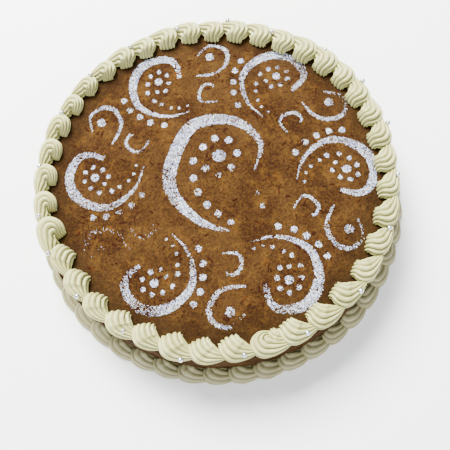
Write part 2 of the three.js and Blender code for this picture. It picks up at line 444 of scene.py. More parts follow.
@dataclass(frozen=True)
class IcingFinish:
    """Buttercream, or cream cheese icing: satin, with fine drag marks, tiny air holes, and painted
    shade in the ribs' grooves and in the holes.
    """

    name: str
    light: Colour
    shade: Colour
    # Painted shade: the colour laid into the ribs' grooves and the air holes.
    groove: Colour
    softness: float = 0.16

    def build(self) -> bpy.types.Material:
        """Makes the material.

        Returns:
            The material.
        """
        paint = Paint(self.name)
        place = paint.place()
        cloud = paint.ease(paint.noise(place, grain=16, detail=3, harsh=0.5), 0.35, 0.68)
        grain = paint.noise(place, grain=0.9, detail=3, harsh=0.6)
        hole = paint.ease(paint.cells(place, grain=2.6), 0.1, 0.03)
        # Painted shade: darker towards the ribs' grooves, read from the crest value on the mesh.
        low = paint.ease(paint.attribute("crest") + 0.16 * (grain - 0.5), 0.72, 0.1)
        colour = paint.blend(cloud, self.shade, self.light)
        colour = paint.blend(low * 0.8, colour, self.groove)
        colour = paint.blend(paint.ease(grain, 0.5, 0.25) * 0.2, colour, self.shade)
        # Painted shade in the air holes.
        colour = paint.blend(hole * 0.4, colour, self.groove)
        normal = paint.bump(grain - hole * 0.8, depth=0.16)
        gloss = 0.4 + 0.14 * grain
        return paint.finish({
            "Base Color": colour, "Roughness": gloss, "Normal": normal,
            "Subsurface Weight": self.softness, "Subsurface Radius": (1.0, 0.8, 0.35),
            "Subsurface Scale": 0.0016, "Specular IOR Level": 0.4})


@dataclass(frozen=True)
class SugarFinish:
    """Icing sugar: faintly blue white powder, matt."""

    white: Colour = tint(236, 244, 255)
    damp: Colour = tint(180, 198, 246)

    def build(self) -> bpy.types.Material:
        """Makes the material.

        Returns:
            The material.
        """
        paint = Paint("icing_sugar")
        place = paint.place()
        patch = paint.ease(paint.noise(place, grain=3.0, detail=3, harsh=0.6), 0.3, 0.62)
        grain = paint.noise(place, grain=0.35, detail=1, harsh=0.5)
        colour = paint.blend(patch, self.damp, self.white)
        return paint.finish({
            "Base Color": colour, "Roughness": 0.9, "Normal": paint.bump(grain, depth=0.08),
            "Specular IOR Level": 0.2})


@dataclass(frozen=True)
class ShredFinish:
    """Carrot shreds that baked dark where they lie at the surface."""

    dark: Colour = tint(38, 17, 7)
    orange: Colour = tint(78, 42, 14)

    def build(self) -> bpy.types.Material:
        """Makes the material.

        Returns:
            The material.
        """
        paint = Paint("carrot_shreds")
        place = paint.place()
        share = paint.ease(paint.noise(place, grain=9, detail=2, harsh=0.5), 0.5, 0.75)
        grain = paint.noise(place, grain=0.7, detail=2, harsh=0.6)
        colour = paint.blend(share, self.dark, self.orange)
        colour = paint.blend(paint.ease(grain, 0.5, 0.3) * 0.4, colour, self.dark)
        return paint.finish({
            "Base Color": colour, "Roughness": 0.7 + 0.2 * grain,
            "Normal": paint.bump(grain, depth=0.2), "Specular IOR Level": 0.03})


@dataclass(frozen=True)
class SilverFinish:
    """Silver sugar balls: a thin silver skin, slightly rubbed."""

    silver: Colour = tint(214, 217, 222)
    rubbed: Colour = tint(176, 178, 184)

    def build(self) -> bpy.types.Material:
        """Makes the material.

        Returns:
            The material.
        """
        paint = Paint("silver_sugar_balls")
        place = paint.place()
        worn = paint.ease(paint.noise(place, grain=1.6, detail=3, harsh=0.6), 0.45, 0.7)
        colour = paint.blend(worn, self.silver, self.rubbed)
        return paint.finish({
            "Base Color": colour, "Metallic": 1.0, "Roughness": 0.16 + 0.16 * worn,
            "Normal": paint.bump(worn, depth=0.03)})


@dataclass(frozen=True)
class FloorFinish:
    """Plain pale floor."""

    pale: Colour = tint(252, 252, 252)
    faint: Colour = tint(247, 247, 248)

    def build(self) -> bpy.types.Material:
        """Makes the material.

        Returns:
            The material.
        """
        paint = Paint("pale_floor")
        cloud = paint.noise(paint.place(), grain=300, detail=2, harsh=0.5)
        return paint.finish({
            "Base Color": paint.blend(cloud, self.pale, self.faint), "Roughness": 0.8,
            "Specular IOR Level": 0.2})


def dress(piece: bpy.types.Object, finish: bpy.types.Material,
          replaced: Sequence[str] = ()) -> bpy.types.Object:
    """Gives a piece its material and body, and hides the nodes it replaces.

    Args:
        piece: The piece.
        finish: Its material.
        replaced: The nodes it replaces.

    Returns:
        The piece.
    """
    piece.data.materials.append(finish)
    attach(piece, "root")
    if replaced:
        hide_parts(*replaced)
    log.info("%s: %d faces", piece.name, len(piece.data.polygons))
    return piece


# Cake

@dataclass
class CakeBody:
    """The baked cake, with its pitted and cracked crust. Millimetres."""

    radius: float = 140.0
    foot_radius: float = 142.5
    height: float = 50.0
    rim_round: float = 5.0
    foot_round: float = 1.5
    wave: float = 0.5
    cells: int = 250
    wall_rows: int = 20
    pit_grain: float = 11.0
    pit_depth: float = 0.9
    pit_size: tuple[float, float] = (0.12, 0.1)
    relief_layers: tuple[tuple[float, float, float], ...] = (
        (0.34, 15, 3.1), (0.3, 6.5, 8.4), (0.2, 2.7, 5.2))
    swell: float = 0.8
    swell_radius: float = 0.45
    level_radius: float = 0.82
    rim_turns: tuple[float, ...] = (22.5, 45, 67.5)

    def ripple(self, angle: np.ndarray) -> np.ndarray:
        """The crust's slow ripple round the cake."""
        return self.wave * (np.sin(2 * angle + 0.7) + 0.6 * np.sin(3 * angle - 1.1)) / 1.6

    def top_swell(self, x: np.ndarray, y: np.ndarray) -> np.ndarray:
        """Height of the top over its flat level.

        Args:
            x: Places across.
            y: Places along.

        Returns:
            The rise at each place, in millimetres.
        """
        share = np.hypot(x, y) / self.radius
        rise = np.clip(share / self.swell_radius, 0, 1)
        fall = np.clip((self.level_radius - share) / (self.level_radius - self.swell_radius), 0, 1)
        return self.swell * self.ripple(np.arctan2(y, x)) * np.minimum(rise, fall)

    def relief(self, points: np.ndarray) -> np.ndarray:
        """Low relief of the crust: lumps and crumbs, by height, grain and shift, and pits.

        Args:
            points: Places on the smooth surface.

        Returns:
            How far each place stands out, in millimetres.
        """
        layers = sum(height * rough(points, grain, shift)
                     for height, grain, shift in self.relief_layers)
        usual, change = self.pit_size
        pits = np.zeros(len(points))
        for row, point in enumerate(points):
            spacing, centres = noise.voronoi(Vector(point) / self.pit_grain)
            size = usual + change * noise.noise(centres[0] * 3.7)
            if spacing[0] < size:
                pits[row] = self.pit_depth * (1 - (spacing[0] / size) ** 2)
        return layers - pits

    def top_height(self, x: np.ndarray, y: np.ndarray) -> np.ndarray:
        """Height of the finished top at given places.

        Args:
            x: Places across.
            y: Places along.

        Returns:
            The heights in millimetres.
        """
        flat = np.column_stack([x, y, np.full(len(x), self.height)])
        return self.height + self.top_swell(x, y) + self.relief(flat)

    def build(self) -> bpy.types.Object:
        """Builds the body.

        Returns:
            The dressed piece.
        """
        ticks = np.linspace(-1, 1, self.cells + 1)
        across, along = np.meshgrid(ticks, ticks, indexing="ij")
        flat_radius = self.radius - self.rim_round
        x = (across * np.sqrt(1 - along ** 2 / 2)).ravel() * flat_radius
        y = (along * np.sqrt(1 - across ** 2 / 2)).ravel() * flat_radius
        top = np.column_stack([x, y, self.top_height(x, y)])
        side = self.cells + 1
        faces = [(i * side + j, (i + 1) * side + j, (i + 1) * side + j + 1, i * side + j + 1)
                 for i in range(self.cells) for j in range(self.cells)]
        edge = [i * side for i in range(side)]
        edge += [self.cells * side + j for j in range(1, side)]
        edge += [i * side + self.cells for i in range(self.cells - 1, -1, -1)]
        edge += [j for j in range(self.cells - 1, 0, -1)]
        angles = np.arctan2(y[edge], x[edge])
        rows = self.wall_profile()
        parts = [top]
        before = edge
        count = len(top)
        for reach, level, push in rows:
            radius = reach + push * self.ripple(angles)
            ring = np.column_stack([
                radius * np.cos(angles), radius * np.sin(angles), np.full(len(edge), level)])
            outward = np.column_stack([np.cos(angles), np.sin(angles), np.zeros(len(edge))])
            if level > 0:
                ring = ring + outward * self.relief(ring)[:, None]
            parts.append(ring)
            current = list(range(count, count + len(edge)))
            for k in range(len(edge)):
                after = (k + 1) % len(edge)
                faces.append((before[k], current[k], current[after], before[after]))
            before = current
            count += len(edge)
        parts.append(np.array([[0.0, 0.0, 0.0]]))
        faces += [(before[k], count, before[(k + 1) % len(before)]) for k in range(len(before))]
        piece = make_object("cake_crust", np.concatenate(parts), faces)
        return dress(piece, CrustFinish().build(), ["cake"])

    def wall_radius(self, points: np.ndarray) -> np.ndarray:
        """Radius of the smooth wall next to given points.

        Args:
            points: Rows of x, y and z.

        Returns:
            The radius next to each point.
        """
        top = self.height - self.rim_round
        share = np.clip((top - points[:, 2]) / (top - self.foot_round), 0, 1)
        angle = np.arctan2(points[:, 1], points[:, 0])
        return (self.radius + (self.foot_radius - self.radius) * share
                + (0.5 + 0.5 * share) * self.ripple(angle))

    def wall_profile(self) -> list[tuple[float, float, float]]:
        """The rim's round, the wall and the foot's round, from the top down.

        Returns:
            Radius, height and share of the ripple for each row.
        """
        rows = []
        for turn in self.rim_turns:
            lean = math.radians(turn)
            rows.append((
                self.radius - self.rim_round * (1 - math.sin(lean)),
                self.height - self.rim_round * (1 - math.cos(lean)), turn / 180))
        top = self.height - self.rim_round
        for step in range(self.wall_rows + 1):
            share = step / self.wall_rows
            rows.append((self.radius + (self.foot_radius - self.radius) * share,
                         top + (self.foot_round - top) * share, 0.5 + 0.5 * share))
        rows.append((self.foot_radius - self.foot_round, 0.0, 1.0))
        return rows


@dataclass
class CarrotShreds:
    """Shreds of carrot at the surface of the crust. Millimetres."""

    body: CakeBody
    count: int = 260
    reach: float = 121.0
    length: tuple[float, float] = (2.5, 8.0)
    width: tuple[float, float] = (0.8, 2.1)
    bend: float = 0.9
    proud: float = 0.28
    buried: float = 0.1
    thickness: float = 0.15
    steps: int = 7
    lanes: int = 6

    def build(self) -> bpy.types.Object:
        """Scatters the shreds over the top.

        Returns:
            The dressed piece.
        """
        draws = np.random.default_rng(11)
        pile = Pile()
        steps, lanes = self.steps, self.lanes
        faces = tube_faces(steps, lanes)
        for _ in range(self.count):
            radius = self.reach * math.sqrt(draws.random())
            angle = draws.uniform(0, 2 * math.pi)
            heading = draws.uniform(0, 2 * math.pi)
            bend = draws.normal(0, self.bend)
            length = draws.uniform(*self.length)
            width = draws.uniform(*self.width)
            share = np.linspace(-0.5, 0.5, steps)
            turn = heading + bend * share
            x = radius * math.cos(angle) + np.cumsum(np.cos(turn)) * length / steps
            y = radius * math.sin(angle) + np.cumsum(np.sin(turn)) * length / steps
            z = self.body.top_height(x, y)
            taper = np.sqrt(np.clip(1 - (2 * share) ** 4, 0.08, 1))
            rings = []
            for step in range(steps):
                for lane in range(lanes):
                    around = 2 * math.pi * lane / lanes
                    side = 0.5 * width * taper[step] * math.cos(around)
                    lift = (self.proud + self.thickness) * taper[step] * math.sin(around)
                    rings.append((
                        x[step] - math.sin(turn[step]) * side,
                        y[step] + math.cos(turn[step]) * side,
                        z[step] + lift - self.buried))
            ends = [(x[k], y[k], z[k] - self.buried) for k in (0, -1)]
            pile.add(np.array(rings + ends), faces)
        return dress(pile.build("carrot_shreds"), ShredFinish().build())


# Piping

@dataclass(frozen=True)
class Hand:
    """How the hand opens a shell: where the teeth end on the inner side, as shares of the shell's
    half length and half width, the angle on the head's outline at which they end on the outer
    side, the shell's shift outwards, its width as a share of the usual one, how far the row of
    teeth bulges, as a share of the half width, how strong the teeth are, and the tail's shift
    inwards, as a share of the half width."""

    ahead: float
    side: float
    opening: float
    outward: float = 0.0
    width: float = 1.0
    bulge: float = 0.0
    teeth: float = 0.0
    tail: float = 0.0


@dataclass
class PipedShell:
    """One shell of a piped string. Local frame: x along the string, y to the cake's axis."""

    half_length: float
    half_width: float
    height: float
    tail_reach: float
    notch: tuple[float, float]
    tail_inner: float
    ribs: int = 7
    rib_depth: float = 0.27
    crest_share: float = 0.7
    tooth_crest: float = 2.3
    tooth_groove: float = 0.8
    rise: float = 7.0
    lane_steps: int = 7
    cap_rings: int = 6
    body_rings: int = 30
    tuck: float = 20.0
    head_share: float = 0.62
    head_end: float = 256.0
    rise_end: float = 0.168
    rise_length: float = 4.6
    bow_end: float = 0.5
    crest_power: float = 0.75
    full_until: float = 0.45
    thinning: float = 0.62
    full_width: float = 0.75
    low_teeth: float = 0.4
    seam_step: float = 0.6
    tail_centre: float = 0.2
    slow_grain: float = 7.0
    slow_shift: tuple[float, float, float] = (0.5, 0.5, 0.45)
    fine_grain: float = 1.6
    fine_shift: float = 0.14

    def rails(self, progress: float, hand: Hand) -> tuple[np.ndarray, np.ndarray]:
        """The outer and inner edge of the string: round the head, then along the tail's curves.

        Args:
            progress: From the teeth, 0, to the tip of the tail, 1.
            hand: How the shell is opened.

        Returns:
            The point on the outer edge and the point on the inner one.
        """
        half_width = self.half_width * hand.width
        start = np.array([hand.ahead * self.half_length, hand.side * half_width])
        notch = np.array([self.notch[0] * self.half_length, self.notch[1] * half_width])
        if progress <= self.head_share:
            share = progress / self.head_share
            angle = math.radians(hand.opening + (self.head_end - hand.opening) * share)
            outer = np.array([self.half_length * math.cos(angle), half_width * math.sin(angle)])
            return outer, start + (notch - start) * share
        along = (progress - self.head_share) / (1 - self.head_share)
        end = math.radians(self.head_end)
        leave = np.array([self.half_length * math.cos(end), half_width * math.sin(end)])
        outer = bezier(along, leave, (0.45 * self.half_length, -1.12 * half_width),
                       (0.62 * self.tail_reach, (0.7 * hand.tail - 0.92) * half_width),
                       (self.tail_reach, (hand.tail - 0.52) * half_width))
        inner = bezier(along, notch, ((self.notch[0] + 0.2) * self.half_length,
                                      (self.notch[1] - 0.22) * half_width),
                       (0.72 * self.tail_reach,
                        (self.tail_inner + 0.7 * hand.tail + 0.18) * half_width),
                       (self.tail_reach, (self.tail_inner + hand.tail) * half_width))
        return outer, inner

    def fall(self, progress: float) -> float:
        """How far the string has thinned out at a progress.

        Args:
            progress: From the teeth, 0, to the tip of the tail, 1.

        Returns:
            The height's share of the full height.
        """
        if progress < self.full_until:
            return 1.0
        along = (progress - self.full_until) / (1 - self.full_until)
        return 1 - self.thinning * along ** 1.2

    def fullness(self, half: np.ndarray, progress: float) -> float:
        """How full the string stands, as one that starts narrow is also lower there.

        Args:
            half: Half the way from the inner edge to the outer one.
            progress: From the teeth, 0, to the tip of the tail, 1.

        Returns:
            The share of the full height.
        """
        width = float(np.linalg.norm(half)) / (self.full_width * self.half_width)
        return 1.0 if progress > self.full_until else math.sqrt(min(1.0, width))

    def points(self, hand: Hand, seed: int) -> np.ndarray:
        """Points of the shell, ring by ring, and the two end centres.

        Args:
            hand: How the shell is opened.
            seed: The shell's number, for its unevenness.

        Returns:
            Rows of x, y and z in millimetres.
        """
        lanes = self.ribs * self.lane_steps + 1
        share = np.linspace(0, 1, lanes)
        crest = np.abs(np.sin(self.ribs * math.pi * share)) ** self.crest_power
        low = -math.radians(self.tuck)
        turn = low + (math.pi - 2 * low) * share
        rise_span = 1 - math.sin(low)
        reach = 1 + self.rib_depth * (crest - self.crest_share)
        lift = (np.sin(turn) - math.sin(low)) / rise_span
        teeth = self.tooth_groove + (self.tooth_crest - self.tooth_groove) * crest * hand.teeth
        teeth = teeth * (self.low_teeth + (1 - self.low_teeth) * np.clip(lift * 2.2, 0, 1))
        bow = hand.bulge * self.half_width * hand.width * np.sin(math.pi * share)
        steps = [(0.0, back) for back in np.cos(np.linspace(0, math.pi / 2, self.cap_rings + 1))[:-1]]
        steps += [(step, 0.0) for step in np.linspace(0, 1, self.body_rings)]
        rings = []
        for number, (progress, back) in enumerate(steps):
            outer, inner = self.rails(progress, hand)
            middle = (outer + inner) / 2
            half = (outer - inner) / 2
            full = self.fullness(half, progress)
            backward = np.array([half[1], -half[0]]) / np.linalg.norm(half)
            run = teeth * (1 - back) + self.rise_length * progress / self.rise_end
            ease = np.clip(run / np.minimum(teeth + self.rise_length, self.rise), 0, 1)
            swell = np.sqrt(1 - (1 - ease) ** 2) * 0.94 + 0.06
            side = middle - np.outer(np.cos(turn) * reach, half)
            bowed = bow * max(0.0, 1 - progress / self.bow_end) ** 2
            side = side + np.outer((teeth * back + bowed) * full, backward)
            height = self.height * full * self.fall(progress) * swell * lift * reach
            rings.append(np.column_stack([side, height]))
            if number == 0:
                under = rings[0] * (1, 1, 0)
                under[:, :2] -= np.outer(np.full(lanes, self.seam_step), backward)
                rings.insert(0, under)
        body = np.concatenate(rings)
        first = np.append(rings[0][:, :2].mean(axis=0), 0.0)
        last = np.append(rings[-1][:, :2].mean(axis=0), self.tail_centre * self.height)
        return self.unevenness(np.vstack([body, first, last]), seed)

    def crests(self) -> np.ndarray:
        """How near each point lies to a rib's crest, in the order of the points.

        Returns:
            One value for each point, 0 in a groove and 1 on a crest.
        """
        share = np.linspace(0, 1, self.ribs * self.lane_steps + 1)
        crest = np.abs(np.sin(self.ribs * math.pi * share))
        return np.append(np.tile(crest, self.cap_rings + self.body_rings + 1), (1.0, 0.5))

    def unevenness(self, points: np.ndarray, seed: int) -> np.ndarray:
        """Softens the shell's regularity with slow and fine shifts.

        Args:
            points: The regular shell.
            seed: The shell's number.

        Returns:
            The uneven shell.
        """
        lifted = np.clip(points[:, 2] / 3, 0, 1)[:, None]
        slow = np.column_stack([
            rough(points, self.slow_grain, seed * 1.3 + k * 9.1) for k in range(3)])
        fine = np.column_stack([
            rough(points, self.fine_grain, seed * 2.1 + k * 5.3) for k in range(3)])
        return points + lifted * (slow * self.slow_shift + fine * self.fine_shift)

    def faces(self) -> list[tuple[int, ...]]:
        """Faces that go with the points."""
        return tube_faces(self.cap_rings + self.body_rings + 1, self.ribs * self.lane_steps + 1)


def bezier(share: float, *corners: Sequence[float]) -> np.ndarray:
    """A point on a cubic curve.

    Args:
        share: How far along the curve.
        corners: The curve's four control points.

    Returns:
        The point.
    """
    a, b, c, d = (np.asarray(corner, float) for corner in corners)
    rest = 1 - share
    return rest ** 3 * a + 3 * rest ** 2 * share * b + 3 * rest * share ** 2 * c + share ** 3 * d


def on_ring(points: np.ndarray, radius: float, degrees: float, height: float,
            scale: float) -> np.ndarray:
    """Places a form on a ring, its x along the ring and its y to the axis.

    Args:
        points: The form in its own frame.
        radius: Radius of the ring.
        degrees: Angle on the ring.
        height: Height of the form's floor.
        scale: Size of the form.

    Returns:
        The placed points.
    """
    angle = math.radians(degrees)
    lead = angle + math.pi / 2
    x, y, z = (points * scale).T
    return np.column_stack([
        radius * math.cos(angle) + x * math.cos(lead) - y * math.sin(lead),
        radius * math.sin(angle) + x * math.sin(lead) + y * math.cos(lead),
        z + height])


@dataclass
class TopBorder:
    """The string of shells on the cake's rim. Millimetres and degrees."""

    floor: float
    shells: int = 39
    band_radius: float = 132.8
    size_spread: float = 0.05
    radial_spread: float = 0.8
    start_angle: float = -1.1
    drift: tuple[tuple[int, float, float], ...] = (
        (1, 3.16, -0.8), (2, 0.3, 0.7), (3, 0.85, -0.35))
    hands: tuple[tuple[float, Hand], ...] = (
        (0, Hand(0.4, 0.64, 150, -0.9, 0.9, 0.34, 1, 0)),
        (30, Hand(0.5, 0.64, 142, 0, 0.94, 0.42, 1, 0)),
        (50, Hand(0.56, 0.64, 134, 0.4, 1, 0.44, 1, 0)),
        (62, Hand(0.64, 0.62, 128, -1.2, 0.96, 0.38, 1, 0)),
        (90, Hand(0.7, 0.62, 126, -1.2, 0.94, 0.3, 1, 0)),
        (110, Hand(0.7, 0.6, 120, -1.2, 0.92, 0.26, 0.8, 0)),
        (130, Hand(0.62, 0.5, 108, -1.4, 0.88, 0.2, 0.6, 0)),
        (150, Hand(0.4, 0.2, 74, -0.5, 0.9, 0.24, 0.5, 0)),
        (190, Hand(0.36, 0.16, 66, 0, 0.95, 0.26, 0.5, 0)),
        (203, Hand(0.45, 0.25, 80, 0, 1, 0.2, 0.45, 0)),
        (206, Hand(0.42, 0.76, 192, -1.2, 0.95, 0.42, 1, 0.38)),
        (235, Hand(0.42, 0.76, 190, -1, 1, 0.42, 1, 0.34)),
        (258, Hand(0.44, 0.76, 184, 0, 1, 0.38, 1, 0.2)),
        (285, Hand(0.46, 0.74, 168, 0, 1, 0.32, 1, 0.05)),
        (300, Hand(0.42, 0.74, 156, 0, 0.97, 0.26, 1, 0)),
        (325, Hand(0.38, 0.68, 152, -0.6, 0.93, 0.28, 1, 0)),
        (345, Hand(0.36, 0.64, 152, -1.4, 0.86, 0.32, 1, 0)),
        (360, Hand(0.4, 0.64, 150, -0.9, 0.9, 0.34, 1, 0)))
    opening_spread: float = 5.0
    round_shell: int = 31
    round_hand: Hand = Hand(0.36, 0.16, 66, 0, 1, 0.26, 0.5)
    join_shell: int = 22
    join_scale: float = 1.17
    dab_angle: float = 288.5
    dab_radius: float = 131.0
    dab_lift: float = 1.5
    dab_scale: float = 0.68
    shell: PipedShell = field(default_factory=lambda: PipedShell(
        half_length=9.8, half_width=8.8, height=11.1, tail_reach=18.5, notch=(0.85, 0.38),
        tail_inner=-0.3))
    finish: IcingFinish = IcingFinish(
        "top_icing", tint(181, 180, 122), tint(168, 166, 107), tint(124, 117, 66))

    def angle(self, number: int) -> float:
        """Angle of a shell on the ring.

        Args:
            number: The shell's number.

        Returns:
            The angle in degrees.
        """
        even = 360 * number / self.shells
        turn = math.radians(even)
        drift = sum(cosine * math.cos(order * turn) + sine * math.sin(order * turn)
                    for order, cosine, sine in self.drift)
        return self.start_angle + even + drift

    def hand(self, degrees: float, number: int) -> Hand:
        """How the hand opens a shell, which differs with how it reaches round the cake.

        Args:
            degrees: Angle of the shell on the ring.
            number: The shell's number.

        Returns:
            The hand's setting, worked out between the ones before and after that angle.
        """
        if number == self.round_shell:
            return self.round_hand
        stops = [stop for stop, _ in self.hands]
        values = {}
        for name in Hand.__dataclass_fields__:
            column = [getattr(row, name) for _, row in self.hands]
            values[name] = float(np.interp(degrees % 360, stops, column))
        values["opening"] += self.opening_spread * spread(number, 3)
        return Hand(**values)

    def build(self) -> bpy.types.Object:
        """Pipes the border.

        Returns:
            The dressed piece.
        """
        pile = Pile()
        faces, crests = self.shell.faces(), self.shell.crests()
        for number in range(self.shells):
            degrees = self.angle(number)
            usual = 1 + self.size_spread * spread(number, 1)
            scale = self.join_scale if number == self.join_shell else usual
            hand = self.hand(degrees, number)
            radius = self.band_radius + hand.outward + self.radial_spread * spread(number, 2)
            points = self.shell.points(hand, number)
            pile.add(on_ring(points, radius, degrees, self.floor, scale), faces, crests)
        dab = self.shell.points(self.hand(self.dab_angle, self.shells), self.shells)
        pile.add(on_ring(dab, self.dab_radius, self.dab_angle, self.floor + self.dab_lift,
                         self.dab_scale), faces, crests)
        return dress(pile.build("top_piping"), self.finish.build(), ["top_border"])


@dataclass
class BaseBorder:
    """The smaller shells round the cake's foot. Millimetres and degrees."""

    shells: int = 47
    first_seed: int = 100
    band_radius: float = 146.1
    hand: Hand = Hand(0.45, 0.95, 130)
    size_spread: float = 0.03
    start_angle: float = 0.7
    body: CakeBody = field(default_factory=CakeBody)
    wall_press: float = 0.3
    shell: PipedShell = field(default_factory=lambda: PipedShell(
        half_length=9.6, half_width=7.9, height=12, tail_reach=17, notch=(0.85, 0.9), tail_inner=0.6,
        ribs=6, rib_depth=0.13, crest_share=1.0, tooth_crest=1.4, tooth_groove=0.5, lane_steps=5,
        cap_rings=4, body_rings=24))
    # A warmer tone than the top icing, and all three colours painted darker for the shade that the
    # foot lies in under the top border.
    finish: IcingFinish = IcingFinish(
        "base_icing_painted_shade", tint(154, 149, 108), tint(140, 134, 94), tint(105, 98, 62))

    def build(self) -> bpy.types.Object:
        """Pipes the border.

        Returns:
            The dressed piece.
        """
        pile = Pile()
        faces, crests = self.shell.faces(), self.shell.crests()
        for number in range(self.shells):
            degrees = self.start_angle + 360 * number / self.shells
            scale = 1 + self.size_spread * spread(number, 5)
            points = self.shell.points(self.hand, self.first_seed + number)
            placed = on_ring(points, self.band_radius, degrees, 0, scale)
            reach = np.hypot(placed[:, 0], placed[:, 1])
            wall = self.body.wall_radius(placed) - self.wall_press
            placed[:, :2] *= np.maximum(1, wall / reach)[:, None]
            pile.add(placed, faces, crests)
        return dress(
            pile.build("base_piping"), self.finish.build(), ["base_border"])


@dataclass
class SilverBalls:
    """Silver sugar balls pressed into the joins of the top border. Millimetres and degrees."""

    piping: bpy.types.Object
    diameter: float = 4.0
    height: float = 57.6
    places: tuple[tuple[float, float], ...] = (
        (15.1, 138.5), (32, 139.6), (49.1, 138.8), (68.7, 132.8), (84.9, 137.6),
        (103, 133.6), (121.6, 133.7), (139.2, 135.3), (156.4, 134.5), (177, 136.4),
        (194.1, 136.7), (207.4, 137), (224, 135.5), (242, 135), (260.6, 140),
        (278.6, 136), (297.7, 137.4), (317.5, 138), (339.2, 135.6), (357.2, 137.1))
    sunk: float = 0.22
    upward: float = 1.2
    uneven: float = 0.025
    rings: int = 15
    lanes: int = 24

    def build(self) -> bpy.types.Object:
        """Sets the balls on the icing.

        Returns:
            The dressed piece.
        """
        surface = BVHTree.FromPolygons(
            [vertex.co for vertex in self.piping.data.vertices],
            [tuple(face.vertices) for face in self.piping.data.polygons])
        pile = Pile()
        for number, (degrees, radius) in enumerate(self.places):
            angle = math.radians(degrees)
            centre = Vector((radius * math.cos(angle), radius * math.sin(angle), self.height))
            spot, normal, _, _ = surface.find_nearest(centre * MM)
            outward = Vector((math.cos(angle), math.sin(angle), self.upward)).normalized()
            side = normal if normal.dot(outward) > 0 else -normal
            seat = spot / MM + side * (0.5 - self.sunk) * self.diameter
            points, faces = self.ball(number)
            pile.add(points + np.array(seat), faces)
        return dress(pile.build("silver_balls"), SilverFinish().build(), ["top_border"])

    def ball(self, number: int) -> tuple[np.ndarray, list[tuple[int, ...]]]:
        """One ball, not quite round.

        Args:
            number: The ball's number, for its unevenness.

        Returns:
            Its points about its own centre, and its faces.
        """
        rows = []
        for ring in range(self.rings):
            lean = math.pi * (ring + 1) / (self.rings + 1)
            for lane in range(self.lanes):
                around = 2 * math.pi * lane / self.lanes
                rows.append((math.sin(lean) * math.cos(around), math.sin(lean) * math.sin(around),
                             math.cos(lean)))
        points = np.array(rows + [(0, 0, 1), (0, 0, -1)])
        swell = 1 + self.uneven * rough(points, 0.9, number * 3.3)
        return points * swell[:, None] * self.diameter / 2, tube_faces(self.rings, self.lanes)


# Icing sugar stencil

class Stroke(Enum):
    """How a stencilled stroke narrows along its length."""

    CRESCENT = "crescent"
    COMMA = "comma"
    CURL = "curl"


@dataclass(frozen=True)
class SugarStroke:
    """A curved stroke of the stencil: its line and its width. Millimetres."""

    line: tuple[tuple[float, float], ...]
    width: float
    kind: Stroke
    blunt: float = 0.03
    edge: float = 0.16
    samples: int = 400

    def narrowing(self, share: np.ndarray) -> np.ndarray:
        """Width along the stroke as a share of the full width.

        Args:
            share: How far along the stroke.

        Returns:
            The share of the full width.
        """
        if self.kind is Stroke.CRESCENT:
            return np.clip(np.sin(math.pi * share ** 0.9), 0, 1) ** 0.8 + self.blunt
        if self.kind is Stroke.COMMA:
            head = 1 - 0.6 * np.clip((share - 0.5) / 0.5, 0, 1) ** 1.6
            return np.minimum(np.clip(share / 0.55, 0, 1) ** 0.85, head) + self.blunt
        return 0.3 + 0.7 * np.sin(math.pi * share) ** 0.8

    def along(self, share: np.ndarray) -> tuple[np.ndarray, np.ndarray]:
        """Points on the stroke's line, a smooth curve through its corners, and across it.

        Args:
            share: How far along the stroke.

        Returns:
            The points, and the unit vectors across the line.
        """
        corners = np.array(self.line)
        padded = np.vstack([2 * corners[0] - corners[1], corners, 2 * corners[-1] - corners[-2]])
        place = np.clip(share, 0, 0.99999) * (len(corners) - 1)
        first = place.astype(int)
        t = (place - first)[:, None]
        p0, p1, p2, p3 = (padded[first + k] for k in range(4))
        points = 0.5 * (2 * p1 + (p2 - p0) * t + (2 * p0 - 5 * p1 + 4 * p2 - p3) * t ** 2
                        + (3 * p1 - p0 - 3 * p2 + p3) * t ** 3)
        lead = 0.5 * ((p2 - p0) + 2 * (2 * p0 - 5 * p1 + 4 * p2 - p3) * t
                      + 3 * (3 * p1 - p0 - 3 * p2 + p3) * t ** 2)
        lead /= np.linalg.norm(lead, axis=1)[:, None]
        return points, np.column_stack([-lead[:, 1], lead[:, 0]])

    def scatter(self, draws: np.random.Generator, density: float) -> np.ndarray:
        """Even scatter of places over the stroke.

        Args:
            draws: The seeded draws.
            density: Places for each square millimetre.

        Returns:
            Rows of x and y.
        """
        steps = np.linspace(0, 1, self.samples)
        points, _ = self.along(steps)
        pace = np.linalg.norm(np.gradient(points, axis=0), axis=1)
        weight = np.cumsum(pace * self.narrowing(steps))
        area = float(weight[-1]) * self.width
        count = int(area * density)
        share = np.interp(draws.random(count) * weight[-1], weight, steps)
        centre, across = self.along(share)
        reach = 0.5 * self.width * self.narrowing(share)
        side = draws.uniform(-1, 1, count) * reach + draws.normal(0, self.edge, count)
        return centre + across * side[:, None]


BIG_CRESCENT = SugarStroke(
    ((8.6, -47.0), (-7.5, -42.5), (-21.2, -33.7), (-31.5, -22.5), (-37.3, -12.8), (-38.8, 1.0),
     (-35.8, 14.9), (-30.0, 29.5), (-20.9, 42.5), (-2.5, 47.4), (15.8, 43.9), (29.6, 31.2),
     (32.9, 19.7), (27.2, 1.9)), 10.6, Stroke.CRESCENT)
BIG_DOT = ((0.1, 15.0, 5.1),)
INNER_DOTS = (
    (-3.1, 30.3, 2.9), (7.8, 28.4, 2.9), (-12.5, 23.1, 2.9), (14.2, 16.9, 2.9),
    (-20.2, 11.3, 2.9), (-10.6, 4.8, 2.9), (9.5, 4.7, 2.9), (0.0, -1.2, 2.2), (-20.1, -3.6, 2.9),
    (-16.2, -15.2, 2.9), (-9.0, -25.5, 2.9), (-1.0, -32.9, 2.7), (8.9, -39.7, 2.2),
    (29.5, -16.8, 2.0), (32.7, -27.5, 2.0))

